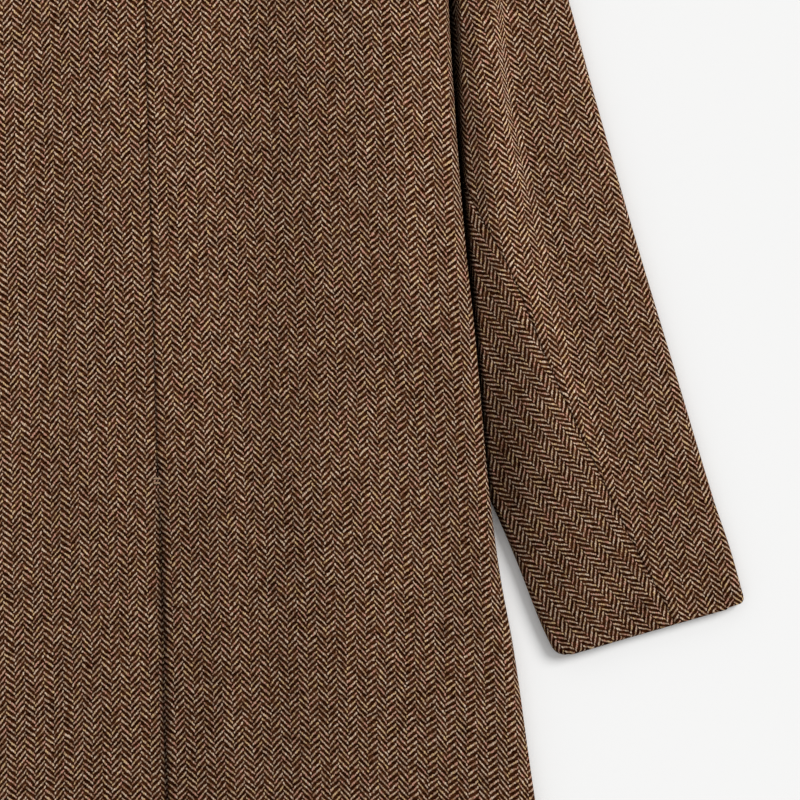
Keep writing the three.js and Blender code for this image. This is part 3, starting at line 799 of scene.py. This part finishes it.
def button(name, y):
    """A horn button, its good side down: a rounded rim, a shallow dish and four holes, with cross
    stitches and a thread shank that goes up through the buttonhole to the right front."""
    radius, thick = BUTTON_RADIUS, BUTTON_THICKNESS
    grid = np.linspace(-1, 1, 81)
    u, v = np.meshgrid(grid, grid)
    x = u * np.sqrt(1 - v**2 / 2) * radius
    z_y = v * np.sqrt(1 - u**2 / 2) * radius
    r = np.hypot(x, z_y)
    rim = 0.9 * (1 - np.sqrt(1 - np.clip((r - radius + 1.6) / 1.6, 0, 1) ** 2))
    dish = 0.9 * smooth((radius - 2.6 - r) / 2)
    pits = np.zeros(r.shape)
    for hx in (-HOLE_AT, HOLE_AT):
        for hy in (-HOLE_AT, HOLE_AT):
            pits = np.maximum(pits, smooth((1.15 - np.hypot(x - hx, z_y - hy)) / 0.4))
    face = rim + dish * (1 - pits) + pits * (thick - 0.9)
    back_face = thick - 0.8 * rim
    k = np.arange(81 * 81).reshape(81, 81)
    inside = k + 81 * 81
    down = np.stack([k[:-1, :-1], k[1:, :-1], k[1:, 1:], k[:-1, 1:]], -1).reshape(-1, 4)
    up = np.stack([inside[:-1, :-1], inside[:-1, 1:], inside[1:, 1:], inside[1:, :-1]], -1)
    loop = np.concatenate([k[0, :-1], k[:-1, -1], k[-1, :0:-1], k[:0:-1, 0]])
    after = np.roll(loop, -1)
    side = np.stack([loop, after, after + 81 * 81, loop + 81 * 81], -1)
    points = np.concatenate(
        [np.stack([x, y + z_y, face], -1).reshape(-1, 3), np.stack([x, y + z_y, back_face], -1).reshape(-1, 3)]
    )
    faces = np.concatenate([down, up.reshape(-1, 4), side]).tolist()
    item = joined("horn_" + name, [(points, faces)], HORN)
    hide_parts(name)
    threads = []
    for way in (-1, 1):
        t = np.linspace(-1, 1, 9)
        for shift in (-0.35, 0.35):
            arch = 0.95 - 0.35 * (1 - t**4)
            line = np.stack([HOLE_AT * t, y + way * HOLE_AT * t + shift, arch + 0.3], 1)
            threads.append(tube(line, 0.3, 6))
    shank = np.stack([np.zeros(6), np.full(6, float(y)), np.linspace(thick - 0.3, 6.7, 6)], 1)
    threads.append(tube(shank, 1.3, 12))
    joined("thread_" + name, threads, THREAD_MATERIAL)


def buttonhole(name, y):
    """The worked edge of a buttonhole on the left front's right side, which faces the floor: a
    keyhole of small stitches, its eye at the shank."""
    stitches = []
    length, eye = 25.0, 2.2
    turn = np.linspace(-0.78 * np.pi, 0.78 * np.pi, 18)
    round_eye = np.stack([-eye * np.cos(turn), eye * np.sin(turn)], 1)
    straight = np.linspace(eye * 0.7, length, 30)
    path = [(x, -eye * 0.55) for x in straight[::-1]] + round_eye.tolist()
    path += [(x, eye * 0.55) for x in straight]
    path = np.array(path)
    ahead = np.gradient(path, axis=0)
    ahead /= np.linalg.norm(ahead, axis=1, keepdims=True)
    for (x, up), (dx, dy) in zip(path, ahead):
        inner, outer = np.array([x - dy * 0.5, up + dx * 0.5]), np.array([x + dy * 1.3, up - dx * 1.3])
        ends = np.stack([inner, (inner + outer) / 2, outer])
        height = front_height(-1, np.abs(ends[:, 0]), ends[:, 1] + y)
        z = height + np.array([0.1, -0.2, 0.1])
        stitches.append(tube(np.stack([ends[:, 0], ends[:, 1] + y, z], 1), 0.28, 5))
    joined("buttonhole_" + name, stitches, THREAD_MATERIAL)


class Nodes:
    """Adds shader nodes to a tree, and joins each one's inputs as it is made."""

    def __init__(self, tree):
        self.tree = tree

    def add(self, kind, settings=(), **inputs):
        node = self.tree.nodes.new(kind)
        for name, value in dict(settings).items():
            setattr(node, name, value)
        for name, value in inputs.items():
            self.set(node.inputs[name.replace("_", " ")], value)
        return node

    def set(self, socket, value):
        if isinstance(value, bpy.types.NodeSocket):
            self.tree.links.new(value, socket)
        else:
            socket.default_value = value

    def math(self, operation, *values):
        node = self.tree.nodes.new("ShaderNodeMath")
        node.operation = operation
        for socket, value in zip(node.inputs, values):
            self.set(socket, value)
        return node.outputs[0]

    def ramp(self, value, low, high):
        """A soft step of value from 0 at low to 1 at high."""
        node = self.add("ShaderNodeMapRange", {"interpolation_type": "SMOOTHSTEP"}, Value=value)
        self.set(node.inputs["From Min"], low)
        self.set(node.inputs["From Max"], high)
        return node.outputs[0]

    def blend(self, factor, a, b, kind="MIX"):
        node = self.add("ShaderNodeMix", {"data_type": "RGBA", "blend_type": kind})
        for socket, value in ((0, factor), (6, a), (7, b)):
            self.set(node.inputs[socket], value)
        return node.outputs[2]

    def noise(self, vector, scale, detail=2.0, roughness=0.5):
        node = self.add("ShaderNodeTexNoise", {"noise_dimensions": "3D"}, Vector=vector)
        self.set(node.inputs["Scale"], scale)
        self.set(node.inputs["Detail"], detail)
        self.set(node.inputs["Roughness"], roughness)
        return node

    def vector(self, x, y, z=0.0):
        return self.add("ShaderNodeCombineXYZ", X=x, Y=y, Z=z).outputs[0]


def rgb(red, green, blue):
    """An sRGB colour, 0 to 255, as the linear colour that a shader takes."""
    part = np.array([red, green, blue]) / 255
    linear = np.where(part <= 0.04045, part / 12.92, ((part + 0.055) / 1.055) ** 2.4)
    return (*linear.tolist(), 1.0)


LIGHT_YARN, LIGHT_YARN_LOW = rgb(213, 189, 165), rgb(139, 102, 75)
YELLOW_YARN, ROSE_YARN, GREY_YARN = rgb(202, 170, 126), rgb(194, 144, 124), rgb(152, 128, 108)
DARK_YARN, DARK_YARN_HIGH = rgb(38, 13, 2), rgb(70, 36, 17)


def herringbone():
    """A node group: a broken herringbone twill of light warp and dark weft from a UV along the
    grain, in metres. Six warp threads make a column, the diagonal turns at each column, and it
    starts again half a repeat on, as real broken herringbone does."""
    tree = bpy.data.node_groups.new("herringbone", "ShaderNodeTree")
    tree.interface.new_socket("Grain", in_out="INPUT", socket_type="NodeSocketVector")
    for name, kind in (("Color", "NodeSocketColor"), ("Height", "NodeSocketFloat")):
        tree.interface.new_socket(name, in_out="OUTPUT", socket_type=kind)
    n = Nodes(tree)
    entry = n.add("NodeGroupInput").outputs[0]
    # Threads wander by a fraction of their width
    slow = n.noise(entry, 70.0, 2.0).outputs["Color"]
    quick = n.noise(entry, 420.0, 2.0).outputs["Color"]
    shift = n.add("ShaderNodeVectorMath", {"operation": "SUBTRACT"})
    n.set(shift.inputs[0], slow)
    shift.inputs[1].default_value = (0.5, 0.5, 0.5)
    drift = n.add("ShaderNodeVectorMath", {"operation": "SUBTRACT"})
    n.set(drift.inputs[0], quick)
    drift.inputs[1].default_value = (0.5, 0.5, 0.5)
    moved = entry
    for node, reach in ((shift, 2.6), (drift, 1.1)):
        step = n.add("ShaderNodeVectorMath", {"operation": "SCALE"})
        n.set(step.inputs[0], node.outputs[0])
        step.inputs["Scale"].default_value = reach * MM
        total = n.add("ShaderNodeVectorMath", {"operation": "ADD"})
        n.set(total.inputs[0], moved)
        n.set(total.inputs[1], step.outputs[0])
        moved = total.outputs[0]
    parts = n.add("ShaderNodeSeparateXYZ", Vector=moved)
    u = n.math("DIVIDE", parts.outputs[0], THREAD * MM)
    v = n.math("DIVIDE", parts.outputs[1], THREAD * MM)
    end, pick = n.math("FLOOR", u), n.math("FLOOR", v)
    across = n.math("SUBTRACT", u, end)
    column = n.math("FLOOR", n.math("DIVIDE", u, float(ENDS_IN_COLUMN)))
    place = n.math("SUBTRACT", u, n.math("MULTIPLY", column, float(ENDS_IN_COLUMN)))
    # The diagonal climbs one pick for each end, with a slight step from end to end
    step = n.math("SUBTRACT", 0.5, across)
    place = n.math("MULTIPLY_ADD", step, 0.35, place)
    way = n.math("SUBTRACT", 1.0, n.math("MULTIPLY", n.math("FLOORED_MODULO", column, 2.0), 2.0))
    climb = n.math("MULTIPLY_ADD", way, place, v)
    # Distance from the middle of the light float, in picks, from 0 to 2
    turn = n.math("FLOORED_MODULO", n.math("ADD", climb, 1.0), 4.0)
    off = n.math("ABSOLUTE", n.math("SUBTRACT", turn, 2.0))
    # Each thread has a tint and a thickness of its own, which change along it
    stretch = n.vector(end, n.math("MULTIPLY", v, 0.06))
    warp = n.noise(stretch, 1.7, 3.0, 0.6)
    fibres = n.noise(n.vector(n.math("MULTIPLY", u, 2.4), n.math("MULTIPLY", v, 0.8)), 1.0, 3.0, 0.7)
    lumps = n.noise(n.vector(n.math("MULTIPLY", u, 0.5), n.math("MULTIPLY", v, 0.5)), 1.0, 1.0)
    reach = n.math("MULTIPLY_ADD", lumps.outputs["Fac"], 1.4, -0.02)
    shown = n.ramp(n.math("SUBTRACT", reach, off), -0.2, 0.25)
    gap = n.math("POWER", n.math("ABSOLUTE", n.math("MULTIPLY_ADD", across, 2.0, -1.0)), 4.0)
    round_off = n.math("MULTIPLY", off, off)
    bead = n.math("SUBTRACT", n.math("SUBTRACT", 1.0, n.math("MULTIPLY", gap, 0.3)), round_off)
    light = n.blend(n.ramp(warp.outputs["Fac"], 0.38, 0.62), LIGHT_YARN, LIGHT_YARN_LOW)
    hue = n.noise(n.vector(n.math("MULTIPLY", end, 0.5), n.math("MULTIPLY", v, 0.09)), 1.0, 2.0)
    grey = n.noise(n.vector(n.math("MULTIPLY", end, 0.4), n.math("MULTIPLY", v, 0.07), 5.0), 1.0, 2.0)
    light = n.blend(n.ramp(hue.outputs["Fac"], 0.5, 0.66), light, YELLOW_YARN)
    light = n.blend(n.ramp(hue.outputs["Fac"], 0.48, 0.34), light, ROSE_YARN)
    light = n.blend(n.ramp(grey.outputs["Fac"], 0.54, 0.7), light, GREY_YARN)
    # Painted shade at the sides of each light thread, where it dips between its neighbours
    light = n.blend(n.math("MULTIPLY", gap, 0.45), light, rgb(70, 38, 20))
    weft = n.vector(n.math("MULTIPLY", u, 0.06), pick, 7.0)
    weft_tint = n.noise(weft, 1.7, 3.0, 0.6)
    dark = n.blend(n.ramp(weft_tint.outputs["Fac"], 0.38, 0.62), DARK_YARN, DARK_YARN_HIGH)
    color = n.blend(shown, dark, light)
    patches = n.noise(entry, 85.0, 3.0, 0.6)
    shade = n.math("MULTIPLY_ADD", fibres.outputs["Fac"], 0.9, 0.55)
    shade = n.math("MULTIPLY", shade, n.math("MULTIPLY_ADD", patches.outputs["Fac"], 0.9, 0.54))
    color = n.blend(1.0, color, n.vector(shade, shade, shade), "MULTIPLY")
    fuzz = n.math("MULTIPLY", fibres.outputs["Fac"], 0.5)
    height = n.math("MULTIPLY_ADD", shown, 0.4, n.math("MULTIPLY", bead, 0.5))
    exit_node = n.add("NodeGroupOutput")
    n.set(exit_node.inputs["Color"], color)
    n.set(exit_node.inputs["Height"], n.math("ADD", height, fuzz))
    return tree


def wool():
    """Brushed wool: the herringbone's colour and relief, times the painted tone with its painted light and
    shade, rough, with a faint sheen.
    """
    material = bpy.data.materials.new("herringbone_wool")
    material.use_nodes = True
    n = Nodes(material.node_tree)
    shader = material.node_tree.nodes["Principled BSDF"]
    uv = n.add("ShaderNodeUVMap", {"uv_map": "grain"})
    weave = n.add("ShaderNodeGroup", {"node_tree": herringbone()}, Grain=uv.outputs[0])
    bump = n.add("ShaderNodeBump", Strength=0.8, Distance=0.45 * MM, Height=weave.outputs["Height"])
    # The painted tone, with its painted light and shade, darkens or lightens the weave's colour
    tone = n.add("ShaderNodeAttribute", {"attribute_name": "tone_and_painted_light"}).outputs["Fac"]
    color = n.blend(1.0, weave.outputs["Color"], n.vector(tone, tone, tone), "MULTIPLY")
    n.set(shader.inputs["Base Color"], color)
    n.set(shader.inputs["Normal"], bump.outputs[0])
    shader.inputs["Roughness"].default_value = 0.95
    shader.inputs["Specular IOR Level"].default_value = 0.0
    shader.inputs["Sheen Weight"].default_value = 0.03
    shader.inputs["Sheen Roughness"].default_value = 0.5
    shader.inputs["Sheen Tint"].default_value = rgb(206, 160, 120)
    return material


def horn():
    """Dark polished horn with faint lighter streaks, for the buttons."""
    material = bpy.data.materials.new("horn")
    material.use_nodes = True
    n = Nodes(material.node_tree)
    shader = material.node_tree.nodes["Principled BSDF"]
    place = n.add("ShaderNodeTexCoord").outputs["Object"]
    streaks = n.noise(place, 160.0, 4.0, 0.6)
    color = n.blend(n.ramp(streaks.outputs["Fac"], 0.4, 0.7), rgb(38, 24, 16), rgb(84, 56, 36))
    n.set(shader.inputs["Base Color"], color)
    shader.inputs["Roughness"].default_value = 0.32
    return material


def thread():
    """Brown twisted sewing thread."""
    material = bpy.data.materials.new("sewing_thread")
    material.use_nodes = True
    n = Nodes(material.node_tree)
    shader = material.node_tree.nodes["Principled BSDF"]
    place = n.add("ShaderNodeTexCoord").outputs["Object"]
    twist = n.add("ShaderNodeTexWave", {"bands_direction": "DIAGONAL"}, Vector=place, Scale=900.0)
    color = n.blend(twist.outputs["Fac"], rgb(120, 92, 66), rgb(190, 160, 128))
    n.set(shader.inputs["Base Color"], color)
    shader.inputs["Roughness"].default_value = 0.7
    return material


def floor():
    """The white surface under the coat."""
    bpy.ops.mesh.primitive_plane_add(size=40, location=(0, 0, -0.0003))
    item = bpy.context.object
    item.name = "white_surface"
    material = bpy.data.materials.new("white_surface")
    material.use_nodes = True
    shader = material.node_tree.nodes["Principled BSDF"]
    shader.inputs["Base Color"].default_value = (0.86, 0.86, 0.855, 1)
    shader.inputs["Roughness"].default_value = 0.9
    shader.inputs["Specular IOR Level"].default_value = 0.1
    item.data.materials.append(material)


def camera():
    """Straight above the lower back, turned by the lean that the coat has in the photograph."""
    view_width, distance, lean = 616 * MM, 2.4, math.radians(1.505)
    data = bpy.data.cameras.new("camera")
    data.sensor_width = 36
    data.lens = data.sensor_width * distance / view_width
    item = bpy.data.objects.new("camera", data)
    item.location = (187.6 * MM, 29.9 * MM, distance)
    item.rotation_euler = (0, 0, -lean)
    bpy.context.scene.collection.objects.link(item)
    bpy.context.scene.camera = item


def lights():
    """A broad soft key from the picture's upper right, and an even fill."""
    sun = bpy.data.lights.new("key", "SUN")
    sun.energy = 2.55
    sun.angle = math.radians(28)
    item = bpy.data.objects.new("key", sun)
    item.rotation_euler = (0, math.radians(50), math.radians(32))
    bpy.context.scene.collection.objects.link(item)
    world = bpy.data.worlds.new("fill")
    world.use_nodes = True
    world.node_tree.nodes["Background"].inputs[0].default_value = (1, 1, 1, 1)
    world.node_tree.nodes["Background"].inputs[1].default_value = 0.55
    bpy.context.scene.world = world
    bpy.context.scene.view_settings.view_transform = "Standard"


camera()
floor()
lights()
WOOL = wool()
HORN = horn()
THREAD_MATERIAL = thread()
for word, sign in (("left", -1), ("right", 1)):
    front("front_" + word, sign)
    back("back_" + word, sign)
    topsleeve("topsleeve_" + word, sign)
    undersleeve("undersleeve_" + word, sign)
    lapel("lapel_" + word, sign)
collar()
bar_tack()
for word, height in BUTTON_Y.items():
    button(word, height)
    buttonhole(word, height)
